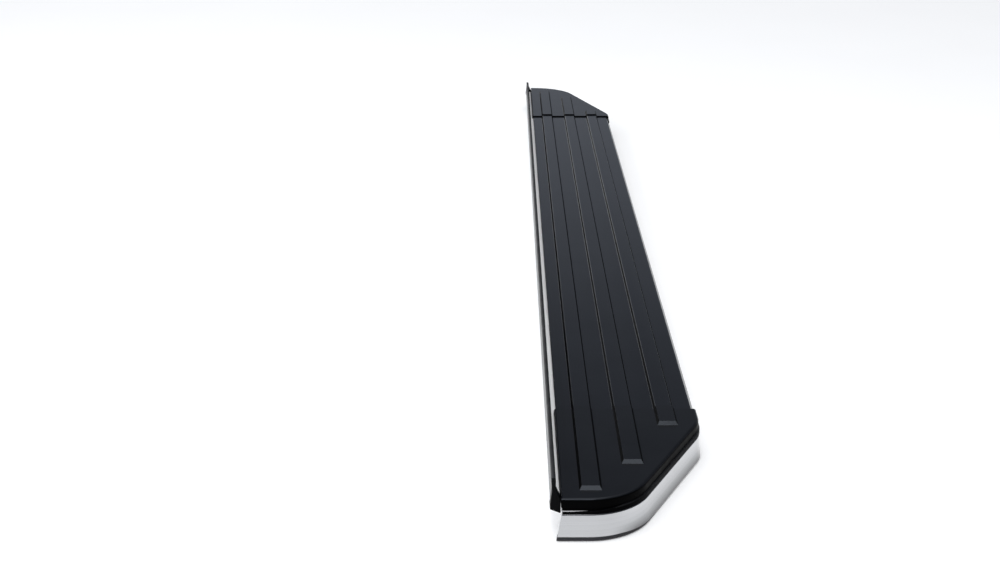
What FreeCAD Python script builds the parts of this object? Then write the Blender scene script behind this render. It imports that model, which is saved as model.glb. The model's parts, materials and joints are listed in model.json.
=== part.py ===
"""Running board for a pickup or sport utility vehicle, in millimetres, Z up.

+X runs along the board towards its longer end cap, -Y is the outer side with the steel trim and
+Y is the side that faces the vehicle. The origin is under the middle of the board, on the plane
that the trim's lower edge rests on.
"""
import FreeCAD, Part
import collections
import math
import os

os.makedirs("parts", exist_ok=True)
V = FreeCAD.Vector

# Overall plan. The plan outline is the edge of the end caps' flat top; everything round the rim is
# placed at a distance outside it.
OUTLINE_END_X = 902.0
OUTER_Y = -75.5
INNER_Y = 69.5
REAR_JOINT_X = -709.5
FRONT_JOINT_X = 642.0
REAR_CORNER_RUN = 28.6
FRONT_CORNER_RUN = 19.0
NOSE_Y = 8.0
CORNER_R = 45.0
REAR_NOSE_R = 60.0
FRONT_NOSE_R = 80.0

# Tread plank and its ribs
TREAD_Z = 41.0
PLANK_THICK = 3.5
PLANK_SKIRT_Z = 33.7
PLANK_SKIRT_THICK = 3.2
PLANK_EDGE_R = 2.4
PLANK_TONGUE = 12.0
RIB_Y = (42.2, -1.5, -45.0)
RIB_BASE_W = 21.5
RIB_TOP_W = 17.0
RIB_H = 3.5
RIB_END_RUN = 3.0

# End caps
CAP_PROUD = 2.0
CAP_SKIN = 3.0
CAP_WALL = 2.6
CAP_WALL_OUT = 3.8
CAP_WALL_Z = 33.6
CAP_EDGE_R = 3.0
CAP_GAP = 0.25
CAP_INNER_Y = 71.5
CAP_PLUG_Y = 70.7
REAR_RIB_RUNS = (179.4, 125.7, 40.1)
FRONT_RIB_RUNS = (217.8, 164.6, 35.2)

# Trim carriers: the lower black tier under each cap
CARRIER_OUT = 3.0
CARRIER_IN_SIDE = -4.0
CARRIER_IN_END = -11.0
CARRIER_RUN_IN = 40.0
CARRIER_JOINT_GAP = 0.3
CARRIER_Z = (30.7, 33.5)
BEAD_SECTION = ((2.5, 33.3), (4.4, 33.0), (5.4, 32.0), (5.5, 27.9), (4.9, 27.6), (2.5, 30.3))
BEAD_TOP = ((10.0, 33.3), (33.0, 30.6), (61.0, 29.4))

# Outer trim: one folded strip, drawn as its middle line (distance outside the outline, height)
TRIM_THICK = 1.1
TRIM_LINE = ((3.2, 5.0), (3.9, 0.55), (7.35, 0.55), (5.1, 13.5), (4.9, 26.4), (2.0, 29.9), (-3.6, 29.9))
TRIM_RADII = (1.3, 1.4, 90.0, 1.2, 1.0)
TRIM_CUT_Y = (74.8, 69.7)
TRIM_CUT_Z = (0.0, 29.9)

# Deck extrusion
DECK_Z = (34.7, 37.3)
WEB_Y = (-71.0, -68.6)
WEB_Z = 10.0
WEB_FOOT_Y = -60.0
WALL = 2.4
INNER_WEB_Y = (61.6, 64.0)
INNER_FOOT_Y = 70.0
INNER_WEB_Z = 20.6
LEDGE_Y = -75.2
LEDGE_Z = (30.7, 33.1)
RAIL_PART_Y = 69.0
UPSTAND_Y = (76.1, 78.7)
UPSTAND_TOP_Z = 54.0
RAIL_BACK = ((71.3, 26.0), (80.5, 30.5), (80.5, 34.0), (79.5, 42.0), (UPSTAND_Y[1], 47.0))
RAIL_CHAMBER = ((73.5, 34.2), (73.5, 28.9), (78.5, 31.5), (78.5, 34.2))
DECK_SETBACK = 13.2
RAIL_END_X = 892.0

# Slot rails under the deck
SLOT_Y = (-36.0, 36.0)
SLOT_RAIL_HALF_X = 645.0
SLOT_RAIL_W = 27.0
SLOT_RAIL_Z = (20.0, 34.7)
SLOT_CAVITY_W = 22.0
SLOT_CAVITY_Z = (22.8, 32.3)
SLOT_MOUTH_W = 9.2

# Bolts that ride in the slots
BOLT_X = (-560.0, 0.0, 560.0)
BOLT_HEAD = (14.0, 21.4, 5.0)
BOLT_HEAD_Z = 23.1
BOLT_NECK = 8.2
BOLT_NECK_Z = 20.0
BOLT_STUD_R = 4.0
BOLT_TIP_Z = 3.0
BOLT_TIP_CHAMFER = 0.8

# Edge seal and rail caps
SEAL_Y = (75.4, 79.4)
SEAL_Z = (47.5, 57.6)
SEAL_TOP_R = 1.9
SEAL_GROOVE_GAP = 0.15
RAIL_CAP_X = (892.2, 902.5)
RAIL_CAP_SECTION = ((70.9, 26.0), (71.1, 40.0), (75.2, 49.0), (75.9, 54.3), (77.6, 57.8), (79.7, 57.8),
                    (79.5, 50.0), (80.1, 42.0), (81.3, 33.0), (80.9, 30.0))
RAIL_CAP_TIP_Z = 55.0
RAIL_TONGUE_X = 881.5
RAIL_TONGUE_SECTION = ((73.9, 33.9), (73.9, 29.4), (78.2, 31.5), (78.2, 33.9))

# Fasteners
SCREW_R = 1.9
SCREW_HEAD_R = 3.2
SCREW_HEAD_H = 2.0
BOSS_R = 3.2
PILOT_GAP = 0.05
CAP_SCREW_TOP_Z = 44.0
CARRIER_SCREW_TOP_Z = 39.5
CARRIER_SCREW_OUT = -7.4
CARRIER_SCREW_AT = (0.2, 0.6)
CARRIER_SCREW_Y = 62.0
CAP_SCREW_INSET = 14.0
CAP_SCREW_NEAR = 24.0
RIVET_R = 1.6
RIVET_HEAD_R = 2.5
RIVET_HEAD_H = 1.0
TRIM_RIVET_OUT = -2.0
CARRIER_RIVET_AT = (0.12, 0.4, 0.72)
CARRIER_RIVET_Y = 55.0
CLIP_R = 3.0
CLIP_HEAD_R = 5.0
CLIP_BARB_R = 3.9
CLIP_Z = (28.5, 38.4)
CLIP_Y = (-57.0, 57.0)
CLIP_LENGTH = 16.0
CLIP_LINE = ((-61.0, 9.4), (-72.5, 9.4), (-74.5, 5.6), (-77.9, 5.6))
CLIP_THICK = 0.8


def spaced(first, last, count):
    """Evenly spaced values from first to last."""
    return [first + (last - first) * i / (count - 1) for i in range(count)]


RAIL_RIVET_X = spaced(-630.0, 630.0, 8)
PLANK_CLIP_X = spaced(-660.0, 590.0, 6)
TRIM_RIVET_X = spaced(-680.0, 604.0, 9)
TRIM_CLIP_X = spaced(-600.0, 540.0, 5)


def right_of(direction):
    """The unit normal to the right of a plane direction."""
    return V(direction.y, -direction.x, 0)


def shifted_corners(corners, shifts):
    """The corners of an open path after each segment moves to its right by its own shift."""
    moved = []
    for (ax, ay), (bx, by), shift in zip(corners, corners[1:], shifts):
        along = V(bx - ax, by - ay, 0).normalize()
        moved.append((V(ax, ay, 0) + right_of(along) * shift, along))
    points = [moved[0][0]]
    for (start, along), (other, turned) in zip(moved, moved[1:]):
        cross = along.x * turned.y - along.y * turned.x
        gap = other - start
        points.append(start + along * ((gap.x * turned.y - gap.y * turned.x) / cross))
    length = math.dist(corners[-2], corners[-1])
    points.append(moved[-1][0] + moved[-1][1] * length)
    return points


def path_edges(corners, radii, shifts, place):
    """Edges of an open path with rounded corners, moved to its right by the shifts."""
    points = shifted_corners(corners, shifts)
    edges = []
    start = points[0]
    for i, radius in enumerate(radii, 1):
        before, corner, after = points[i - 1:i + 2]
        come = (corner - before).normalize()
        go = (after - corner).normalize()
        turn = math.atan2(come.x * go.y - come.y * go.x, come.dot(go))
        side = math.copysign(1.0, turn)
        bend = radius + side * (shifts[i - 1] + shifts[i]) / 2
        tangent = bend * math.tan(abs(turn) / 2)
        entry = corner - come * tangent
        leave = corner + go * tangent
        centre = entry - right_of(come) * side * bend
        middle = centre + (corner - centre).normalize() * bend
        edges.append(Part.LineSegment(place(start), place(entry)).toShape())
        edges.append(Part.Arc(place(entry), place(middle), place(leave)).toShape())
        start = leave
    edges.append(Part.LineSegment(place(start), place(points[-1])).toShape())
    return edges


def wire_face(edges):
    """A face inside edges that close on themselves."""
    return Part.Face(Part.Wire(Part.__sortEdges__(edges)))


def closed_between(first, second):
    """A face between two open paths that run the same way, closed by straight lines."""
    joins = []
    for index in (0, -1):
        a = first[0].Vertexes[0].Point if index == 0 else first[-1].Vertexes[-1].Point
        b = second[0].Vertexes[0].Point if index == 0 else second[-1].Vertexes[-1].Point
        joins.append(Part.LineSegment(a, b).toShape())
    return wire_face(first + second + joins)


def ribbon(line, radii, thickness, place):
    """A strip section of even thickness about a middle line with rounded corners."""
    count = len(line) - 1
    sides = [path_edges(line, radii, [shift] * count, place) for shift in (-thickness / 2, thickness / 2)]
    return closed_between(sides[0], sides[1])


def polygon_x(points, x):
    """A face at one X from (Y, Z) points."""
    ring = [V(x, y, z) for y, z in points]
    return Part.Face(Part.makePolygon(ring + ring[:1]))


def box(x, y, z):
    """A box from three (low, high) pairs."""
    return Part.makeBox(x[1] - x[0], y[1] - y[0], z[1] - z[0], V(x[0], y[0], z[0]))


def post(radius, x, y, low, high):
    """A vertical cylinder."""
    return Part.makeCylinder(radius, high - low, V(x, y, low))


def fuse(shapes):
    """One solid from solids that overlap or share faces."""
    return shapes[0].multiFuse(shapes[1:]).removeSplitter()


def plank_section(grow):
    """The plank's (Y, Z) outline, grown all round; ribs up, a skirt down each long edge."""
    top = TREAD_Z + grow
    under = TREAD_Z - PLANK_THICK - grow
    low = PLANK_SKIRT_Z - grow
    outer = OUTER_Y - grow
    inner = INNER_Y + grow
    points = [(outer, low), (outer, top)]
    for y in sorted(RIB_Y):
        base = RIB_BASE_W / 2 + grow
        crest = RIB_TOP_W / 2 + grow
        points += [(y - base, top), (y - crest, top + RIB_H), (y + crest, top + RIB_H), (y + base, top)]
    points += [(inner, top), (inner, under)]
    points += [(OUTER_Y + PLANK_SKIRT_THICK + grow, under), (OUTER_Y + PLANK_SKIRT_THICK + grow, low)]
    return points


def edges_where(shape, test):
    """The straight or curved edges whose middle point passes a test."""
    return [e for e in shape.Edges if test(e.valueAt((e.FirstParameter + e.LastParameter) / 2))]


def tread_plank():
    """The ribbed plank, with its long edges rounded and pockets for its push-in clips."""
    x = (REAR_JOINT_X - PLANK_TONGUE, FRONT_JOINT_X + PLANK_TONGUE)
    plank = polygon_x(plank_section(0.0), x[0]).extrude(V(x[1] - x[0], 0, 0))
    rims = edges_where(plank, lambda p: abs(p.z - TREAD_Z) < 0.01 and p.y < OUTER_Y + 0.01)
    plank = plank.makeFillet(PLANK_EDGE_R, rims)
    pocket_top = CLIP_Z[1] + 0.1
    pockets = [post(CLIP_HEAD_R + 0.2, cx, cy, DECK_Z[1], pocket_top) for cx in PLANK_CLIP_X for cy in CLIP_Y]
    return plank.cut(Part.makeCompound(pockets))


def cap_corners(end):
    """Plan corners of an end, in X beyond the joint: side, chamfer, end."""
    return [(0.0, OUTER_Y), (end.corner_run, OUTER_Y), (end.length, NOSE_Y), (end.length, INNER_Y)]


def cap_region(end, shifts, inner_y, start_x, z):
    """The plan face of an end, from the joint side to the rim moved out by the shifts."""
    corners = cap_corners(end)
    corners[0] = (start_x, OUTER_Y)
    corners[-1] = (end.length, inner_y)
    rim = path_edges(corners, (CORNER_R, end.nose_r), shifts, lambda p: V(p.x, p.y, z))
    a = rim[0].Vertexes[0].Point
    b = rim[-1].Vertexes[-1].Point
    back = [b, V(start_x, inner_y, z), a]
    return wire_face(rim + [Part.LineSegment(p, q).toShape() for p, q in zip(back, back[1:])])


def cap_rib(y, run):
    """A raised rib whose end slopes down."""
    z = (TREAD_Z + CAP_PROUD - 0.5, TREAD_Z + CAP_PROUD + RIB_H)
    slope = 0.5 / RIB_H
    wires = []
    low_half = RIB_BASE_W / 2 + slope * (RIB_BASE_W - RIB_TOP_W) / 2
    levels = ((z[0], low_half, run + slope * RIB_END_RUN), (z[1], RIB_TOP_W / 2, run - RIB_END_RUN))
    for level, half, tip in levels:
        ring = [V(0, y - half, level), V(tip, y - half, level), V(tip, y + half, level)]
        ring.append(V(0, y + half, level))
        wires.append(Part.makePolygon(ring + ring[:1]))
    return Part.makeLoft(wires, True, True)


def cap_screw_places(end):
    """(X beyond the joint, Y) of the screws that come up into the ribs."""
    places = [(run - CAP_SCREW_INSET, y) for run, y in zip(end.rib_runs, RIB_Y)]
    return places + [(CAP_SCREW_NEAR, RIB_Y[0]), (CAP_SCREW_NEAR, RIB_Y[1])]


def rim_point(end, fraction, out):
    """A point on the chamfer at a fraction of its length, moved out from the outline."""
    points = shifted_corners(cap_corners(end), [out] * 3)
    return points[1] + (points[2] - points[1]) * fraction


def carrier_screw_places(end):
    """(X beyond the joint, Y) of the screws that come up through a carrier into its cap."""
    places = [rim_point(end, fraction, CARRIER_SCREW_OUT) for fraction in CARRIER_SCREW_AT]
    return [(p.x, p.y) for p in places] + [(end.length + CARRIER_SCREW_OUT, CARRIER_SCREW_Y)]


def carrier_rivet_places(end):
    """(X beyond the joint, Y) of the rivets that hold the trim's flange to a carrier."""
    places = [rim_point(end, fraction, TRIM_RIVET_OUT) for fraction in CARRIER_RIVET_AT]
    return [(p.x, p.y) for p in places] + [(end.length + TRIM_RIVET_OUT, CARRIER_RIVET_Y)]


def end_cap(end):
    """A moulded cap, X beyond the joint: rounded shell, ribs, screw bosses, lip over the plank."""
    top = TREAD_Z + CAP_PROUD
    face = cap_region(end, [CAP_WALL_OUT] * 3, CAP_INNER_Y, 0.0, CAP_WALL_Z)
    shell = face.extrude(V(0, 0, top - CAP_WALL_Z))
    shell = shell.makeFillet(CAP_EDGE_R, edges_where(shell, lambda p: abs(p.z - top) < 0.01 and p.x > 1.0))
    shell = fuse([shell] + [cap_rib(y, run) for y, run in zip(RIB_Y, end.rib_runs)])
    hollow_out = CAP_WALL_OUT - CAP_WALL
    hollow = cap_region(end, [hollow_out] * 3, CAP_INNER_Y - CAP_WALL, -1.0, CAP_WALL_Z - 1.0)
    shell = shell.cut(hollow.extrude(V(0, 0, top - CAP_SKIN - CAP_WALL_Z + 1.0)))
    bosses = [post(BOSS_R, x, y, DECK_Z[1] + 0.1, top - 1.0) for x, y in cap_screw_places(end)]
    bosses += [post(BOSS_R, x, y, CARRIER_Z[1] + 0.1, top - 1.0) for x, y in carrier_screw_places(end)]
    shell = fuse([shell] + bosses)
    tongue = polygon_x(plank_section(CAP_GAP), -1.0).extrude(V(PLANK_TONGUE + CAP_GAP + 1.0, 0, 0))
    gutter_x = (-1.0, end.length - (OUTLINE_END_X - RAIL_END_X) + 1.0)
    gutter = box(gutter_x, (CAP_INNER_Y - 8.0, CAP_INNER_Y + 1.0), (CAP_WALL_Z - 1.0, DECK_Z[1] + 0.2))
    pilot = SCREW_R + PILOT_GAP
    pilots = [post(pilot, x, y, CAP_WALL_Z, CAP_SCREW_TOP_Z + 0.3) for x, y in cap_screw_places(end)]
    pilots += [post(pilot, x, y, CAP_WALL_Z - 1.0, CARRIER_SCREW_TOP_Z + 0.3)
               for x, y in carrier_screw_places(end)]
    plug_x = end.length - (OUTLINE_END_X - RAIL_CAP_X[0]) - 0.4
    notch = box((plug_x, end.length + 50.0), (CAP_PLUG_Y, CAP_INNER_Y + 1.0), (CAP_WALL_Z - 1.0, top + 1.0))
    return shell.cut(Part.makeCompound([tongue, gutter, notch] + pilots))


def trim_carrier(end):
    """The black tier under a cap, X beyond the joint: a flat band and a bead that thins to a lip."""
    radii = (CORNER_R, end.nose_r)
    place = lambda p: V(p.x, p.y, CARRIER_Z[0])
    early = [(-CARRIER_RUN_IN, OUTER_Y)] + cap_corners(end)[1:]
    outer = path_edges(early, radii, [CARRIER_OUT] * 3, place)
    inner = path_edges(early, radii, [CARRIER_IN_SIDE, CARRIER_IN_END, CARRIER_IN_END], place)
    band = closed_between(outer, inner).extrude(V(0, 0, CARRIER_Z[1] - CARRIER_Z[0]))
    before = box((-CARRIER_RUN_IN - 1.0, CARRIER_JOINT_GAP), (OUTER_Y - 20.0, INNER_Y), (0.0, 60.0))
    band = band.cut(before)
    path = Part.Wire(path_edges(cap_corners(end), radii, [0.0] * 3, lambda p: V(p.x, p.y, 0)))
    ring = [V(0, OUTER_Y - out, z) for out, z in BEAD_SECTION]
    bead = path.makePipeShell([Part.makePolygon(ring + ring[:1])], True, False)
    above = [*BEAD_TOP, (INNER_Y + 50.0, BEAD_TOP[-1][1]), (INNER_Y + 50.0, 60.0), (BEAD_TOP[0][0], 60.0)]
    bead = bead.cut(polygon_x(above, 0.0).extrude(V(end.length + 50.0, 0, 0)))
    carrier = fuse([band, bead])
    holes = [post(SCREW_R + PILOT_GAP, x, y, 20.0, 40.0) for x, y in carrier_screw_places(end)]
    holes += [post(RIVET_R + PILOT_GAP, x, y, 20.0, 40.0) for x, y in carrier_rivet_places(end)]
    return carrier.cut(Part.makeCompound(holes))


def rail_cap():
    """A push-in end plug of the rail, at the front end, its top sloping down outwards."""
    x = RAIL_CAP_X
    body = polygon_x(RAIL_CAP_SECTION, x[0]).extrude(V(x[1] - x[0], 0, 0))
    top = max(z for y, z in RAIL_CAP_SECTION)
    above = [(x[0], top), (x[1], RAIL_CAP_TIP_Z), (x[1], top + 1.0), (x[0], top + 1.0)]
    ring = [V(px, 60.0, pz) for px, pz in above]
    body = body.cut(Part.Face(Part.makePolygon(ring + ring[:1])).extrude(V(0, 40.0, 0)))
    tongue = polygon_x(RAIL_TONGUE_SECTION, RAIL_TONGUE_X).extrude(V(x[0] + 1.0 - RAIL_TONGUE_X, 0, 0))
    return fuse([body, tongue])


def screw(x, y, under_head, top):
    """A pan-head screw that points up, its head under a plate."""
    shank = post(SCREW_R, x, y, under_head, top - SCREW_R)
    tip = Part.makeCone(SCREW_R, 0.3, SCREW_R, V(x, y, top - SCREW_R))
    head = post(SCREW_HEAD_R, x, y, under_head - SCREW_HEAD_H, under_head)
    rim = edges_where(head, lambda p: abs(p.z - under_head + SCREW_HEAD_H) < 0.01)
    head = head.makeFillet(SCREW_HEAD_H * 0.6, rim)
    return fuse([head, shank, tip])


def rivet(x, y, low, high):
    """A rivet with its dome below, flush on top."""
    head = post(RIVET_HEAD_R, x, y, low - RIVET_HEAD_H, low)
    rim = edges_where(head, lambda p: abs(p.z - low + RIVET_HEAD_H) < 0.01)
    return fuse([head.makeFillet(RIVET_HEAD_H * 0.8, rim), post(RIVET_R, x, y, low - 0.2, high)])


def plank_clip(x, y):
    """A push-in clip: flat head in the plank's pocket, stem through the deck, barb below."""
    head = post(CLIP_HEAD_R, x, y, DECK_Z[1] + 0.02, CLIP_Z[1])
    stem = post(CLIP_R, x, y, CLIP_Z[0] + 3.0, CLIP_Z[1])
    barb = Part.makeCone(CLIP_R * 0.5, CLIP_BARB_R, 5.0, V(x, y, CLIP_Z[0]))
    return fuse([head, stem, barb])


def deck_extrusion():
    """The aluminium deck: plate, two webs, gutter and hollow flange, cut back under the caps."""
    x0 = -RAIL_END_X
    run = V(2 * RAIL_END_X, 0, 0)
    deck = [(WEB_Y[0], WEB_Z), (WEB_FOOT_Y, WEB_Z), (WEB_FOOT_Y, WEB_Z + WALL), (WEB_Y[1], WEB_Z + WALL),
            (WEB_Y[1], DECK_Z[0]), (INNER_WEB_Y[0], DECK_Z[0]), (INNER_WEB_Y[0], INNER_WEB_Z),
            (INNER_FOOT_Y, INNER_WEB_Z), (INNER_FOOT_Y, INNER_WEB_Z + WALL),
            (INNER_WEB_Y[1], INNER_WEB_Z + WALL), (INNER_WEB_Y[1], DECK_Z[0]),
            (RAIL_PART_Y, DECK_Z[0]), (RAIL_PART_Y, DECK_Z[1]), (WEB_Y[0], DECK_Z[1])]
    rail = [(RAIL_PART_Y, DECK_Z[0]), (RAIL_BACK[0][0], DECK_Z[0]), *RAIL_BACK,
            (UPSTAND_Y[1], UPSTAND_TOP_Z), (UPSTAND_Y[0], UPSTAND_TOP_Z), (UPSTAND_Y[0], DECK_Z[1]),
            (RAIL_PART_Y, DECK_Z[1])]
    deck_solid = polygon_x(deck, x0).extrude(run)
    setback = [CARRIER_OUT, -DECK_SETBACK, -DECK_SETBACK]
    front, rear = [cap_region(end, setback, INNER_FOOT_Y + 1.0, -100.0, 0.0).extrude(V(0, 0, 60.0))
                   for end in (FRONT_END, REAR_END)]
    middle = box((REAR_JOINT_X, FRONT_JOINT_X), (OUTER_Y - 5.0, INNER_FOOT_Y + 1.0), (0.0, 60.0))
    deck_solid = deck_solid.common(fuse([middle, at_front(front), at_rear(rear)]))
    ledge = box((REAR_JOINT_X + 0.5, FRONT_JOINT_X - 0.5), (LEDGE_Y, WEB_Y[0] + 1.0), LEDGE_Z)
    rail_solid = polygon_x(rail, x0).extrude(run).cut(polygon_x(RAIL_CHAMBER, x0).extrude(run))
    solid = fuse([deck_solid, rail_solid, ledge])
    rivet_hole = RIVET_R + PILOT_GAP
    plate = (DECK_Z[0] - 1, DECK_Z[1] + 1)
    holes = [post(rivet_hole, x, y, *plate) for x in RAIL_RIVET_X for y in SLOT_Y]
    holes += [post(CLIP_R + PILOT_GAP, x, y, *plate) for x in PLANK_CLIP_X for y in CLIP_Y]
    holes += [post(SCREW_R + PILOT_GAP, x, y, *plate) for x, y in all_cap_screws()]
    holes += [post(rivet_hole, x, side_rivet_y(), LEDGE_Z[0] - 1, LEDGE_Z[1] + 1) for x in TRIM_RIVET_X]
    holes += [post(rivet_hole, x, clip_rivet_y(), WEB_Z - 1, WEB_Z + WALL + 1) for x in TRIM_CLIP_X]
    return solid.cut(Part.makeCompound(holes))


def slot_rail(y):
    """A C-shaped rail with its slot facing down."""
    w, c, m = SLOT_RAIL_W / 2, SLOT_CAVITY_W / 2, SLOT_MOUTH_W / 2
    (low, high), (floor, roof) = SLOT_RAIL_Z, SLOT_CAVITY_Z
    points = [(-w, high), (-w, low), (-m, low), (-m, floor), (-c, floor), (-c, roof),
              (c, roof), (c, floor), (m, floor), (m, low), (w, low), (w, high)]
    face = polygon_x([(y + p, z) for p, z in points], -SLOT_RAIL_HALF_X)
    rail = face.extrude(V(2 * SLOT_RAIL_HALF_X, 0, 0))
    holes = [post(RIVET_R + PILOT_GAP, x, y, roof - 1, high + 1) for x in RAIL_RIVET_X]
    return rail.cut(Part.makeCompound(holes))


def slot_bolt(x, y):
    """A T-head bolt: head in the slot's cavity, square neck, stud pointing down."""
    long_x, wide_y, thick = BOLT_HEAD
    head = box((x - long_x / 2, x + long_x / 2), (y - wide_y / 2, y + wide_y / 2),
               (BOLT_HEAD_Z, BOLT_HEAD_Z + thick))
    head = head.makeFillet(1.5, edges_where(head, lambda p: BOLT_HEAD_Z + 1 < p.z < BOLT_HEAD_Z + thick - 1))
    half = BOLT_NECK / 2
    neck = box((x - half, x + half), (y - half, y + half), (BOLT_NECK_Z, BOLT_HEAD_Z + 1))
    stud = post(BOLT_STUD_R, x, y, BOLT_TIP_Z, BOLT_NECK_Z + 1)
    stud = stud.makeChamfer(BOLT_TIP_CHAMFER, edges_where(stud, lambda p: abs(p.z - BOLT_TIP_Z) < 0.01))
    return fuse([head, neck, stud])


def outer_trim():
    """One folded strip round both ends and the outer side, its ends cut on a slant."""
    start_y = 80.0
    corners = [(-OUTLINE_END_X, start_y), (-OUTLINE_END_X, NOSE_Y), (REAR_JOINT_X - REAR_CORNER_RUN, OUTER_Y),
               (FRONT_JOINT_X + FRONT_CORNER_RUN, OUTER_Y), (OUTLINE_END_X, NOSE_Y), (OUTLINE_END_X, start_y)]
    radii = (REAR_NOSE_R, CORNER_R, CORNER_R, FRONT_NOSE_R)
    path = Part.Wire(path_edges(corners, radii, [0.0] * 5, lambda p: V(p.x, p.y, 0)))
    place = lambda p: V(-OUTLINE_END_X - p.x, start_y, p.y)
    section = ribbon(TRIM_LINE, TRIM_RADII, TRIM_THICK, place)
    strip = path.makePipeShell([section.OuterWire], True, False)
    slope = (TRIM_CUT_Y[1] - TRIM_CUT_Y[0]) / (TRIM_CUT_Z[1] - TRIM_CUT_Z[0])
    ends = []
    for level in (-10.0, 45.0):
        ends.append(TRIM_CUT_Y[0] + slope * (level - TRIM_CUT_Z[0]))
    wedge = polygon_x([(ends[0], -10.0), (120.0, -10.0), (120.0, 45.0), (ends[1], 45.0)], -1000.0)
    strip = strip.cut(wedge.extrude(V(2000.0, 0, 0)))
    holes = [post(RIVET_R + PILOT_GAP, x, side_rivet_y(), 28.0, 32.0) for x in TRIM_RIVET_X]
    for end, move in ((REAR_END, at_rear), (FRONT_END, at_front)):
        for x, y in carrier_rivet_places(end):
            holes.append(move(post(RIVET_R + PILOT_GAP, x, y, 28.0, 32.0)))
    return strip.cut(Part.makeCompound(holes))


def edge_seal():
    """A rubber channel pushed over the upstand's edge."""
    x = (-RAIL_END_X, RAIL_END_X)
    seal = box(x, SEAL_Y, SEAL_Z)
    tops = edges_where(seal, lambda p: abs(p.z - SEAL_Z[1]) < 0.01 and abs(p.x) < 1.0)
    seal = seal.makeFillet(SEAL_TOP_R, tops)
    groove_y = (UPSTAND_Y[0] - SEAL_GROOVE_GAP, UPSTAND_Y[1] + SEAL_GROOVE_GAP)
    return seal.cut(box(x, groove_y, (SEAL_Z[0] - 1.0, UPSTAND_TOP_Z + SEAL_GROOVE_GAP)))


def trim_clip(x):
    """A spring clip under the deck's foot that holds the trim's lower hem."""
    place = lambda p: V(x - CLIP_LENGTH / 2, p.x, p.y)
    clip = ribbon(CLIP_LINE, (1.0, 1.0), CLIP_THICK, place).extrude(V(CLIP_LENGTH, 0, 0))
    return clip.cut(post(RIVET_R + PILOT_GAP, x, clip_rivet_y(), 5.0, 15.0))


def side_rivet_y():
    """Y of the rivets that hold the trim's flange along the outer side."""
    return OUTER_Y - TRIM_RIVET_OUT


def clip_rivet_y():
    """Y of the rivets through the deck's outer foot."""
    return WEB_FOOT_Y - 4.0


def at_front(shape):
    """Moves an end piece, drawn in X beyond the joint, to the front end."""
    return shape.translated(V(FRONT_JOINT_X, 0, 0))


def at_rear(shape):
    """Moves an end piece, drawn in X beyond the joint, to the rear end."""
    return shape.mirror(V(0, 0, 0), V(1, 0, 0)).translated(V(REAR_JOINT_X, 0, 0))


def all_cap_screws():
    """(X, Y) of every screw that passes up through the deck."""
    places = [(FRONT_JOINT_X + x, y) for x, y in cap_screw_places(FRONT_END)]
    return places + [(REAR_JOINT_X - x, y) for x, y in cap_screw_places(REAR_END)]


def save(name, shape):
    """Writes one node."""
    shape.exportStep("parts/" + name + ".step")


End = collections.namedtuple("End", "length corner_run nose_r rib_runs")
REAR_END = End(REAR_JOINT_X + OUTLINE_END_X, REAR_CORNER_RUN, REAR_NOSE_R, REAR_RIB_RUNS)
FRONT_END = End(OUTLINE_END_X - FRONT_JOINT_X, FRONT_CORNER_RUN, FRONT_NOSE_R, FRONT_RIB_RUNS)

save("deck_extrusion", deck_extrusion())
save("tread_plank", tread_plank())
save("outer_trim", outer_trim())
save("edge_seal", edge_seal())
for side, y in zip(("outer", "inner"), SLOT_Y):
    save(side + "_slot_rail", slot_rail(y))
    for station, x in zip(("rear", "middle", "front"), BOLT_X):
        save(station + "_" + side + "_bolt", slot_bolt(x, y))

for name, end, move in (("rear", REAR_END, at_rear), ("front", FRONT_END, at_front)):
    save(name + "_end_cap", move(end_cap(end)))
    save(name + "_trim_carrier", move(trim_carrier(end)))
    cap_screws = [move(screw(x, y, DECK_Z[0], CAP_SCREW_TOP_Z)) for x, y in cap_screw_places(end)]
    save(name + "_cap_screws", Part.makeCompound(cap_screws))
    places = carrier_screw_places(end)
    carrier_screws = [move(screw(x, y, CARRIER_Z[0], CARRIER_SCREW_TOP_Z)) for x, y in places]
    save(name + "_carrier_screws", Part.makeCompound(carrier_screws))
save("front_rail_cap", rail_cap())
save("rear_rail_cap", rail_cap().mirror(V(0, 0, 0), V(1, 0, 0)))

flange_under = TRIM_LINE[-1][1] - TRIM_THICK / 2
trim_rivets = [rivet(x, side_rivet_y(), flange_under, LEDGE_Z[1]) for x in TRIM_RIVET_X]
for end, move in ((REAR_END, at_rear), (FRONT_END, at_front)):
    trim_rivets += [move(rivet(x, y, flange_under, CARRIER_Z[1])) for x, y in carrier_rivet_places(end)]
save("trim_rivets", Part.makeCompound(trim_rivets))
rail_rivets = [rivet(x, y, SLOT_CAVITY_Z[1], DECK_Z[1]) for x in RAIL_RIVET_X for y in SLOT_Y]
save("slot_rail_rivets", Part.makeCompound(rail_rivets))
save("plank_clips", Part.makeCompound([plank_clip(x, y) for x in PLANK_CLIP_X for y in CLIP_Y]))
save("trim_clips", Part.makeCompound([trim_clip(x) for x in TRIM_CLIP_X]))
clip_under = CLIP_LINE[0][1] - CLIP_THICK / 2
clip_rivets = [rivet(x, clip_rivet_y(), clip_under, WEB_Z + WALL) for x in TRIM_CLIP_X]
save("clip_rivets", Part.makeCompound(clip_rivets))
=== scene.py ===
"""The looks of a running board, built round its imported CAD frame. Metres, Z up.

+X runs along the board to its longer end cap, -Y is the outer side with the bright trim, and +Y
faces the vehicle.
"""
import json
import math

import bmesh
import bpy
import numpy as np
from mathutils import Matrix, Vector

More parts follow.
